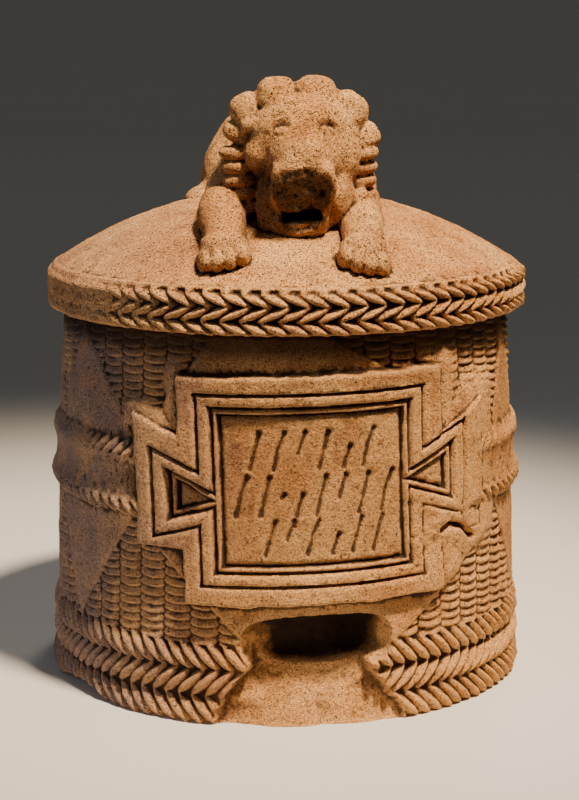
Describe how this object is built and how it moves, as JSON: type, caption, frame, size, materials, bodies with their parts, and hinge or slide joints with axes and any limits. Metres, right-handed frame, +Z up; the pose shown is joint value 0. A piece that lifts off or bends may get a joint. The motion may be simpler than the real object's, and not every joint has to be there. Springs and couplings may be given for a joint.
{
  "type": "cinerary urn",
  "caption": "Round stone burial urn carved as a wicker basket, with a framed dovetail panel and a domed lid on which a lion crouches.",
  "frame": {"origin": "centre of the vessel's underside", "axes": "+Z up through the lid, -Y towards the inscription panel and the lion's face, +X to the right as seen from the front"},
  "size_m": [0.3664, 0.3667, 0.4466],
  "materials": {
    "urn_stone": "weathered pitted stone",
    "lid_stone": "weathered pitted stone"
  },
  "bodies": {
    "root": {"urn": "urn_stone", "lid": "lid_stone"}
  },
  "joints": []
}
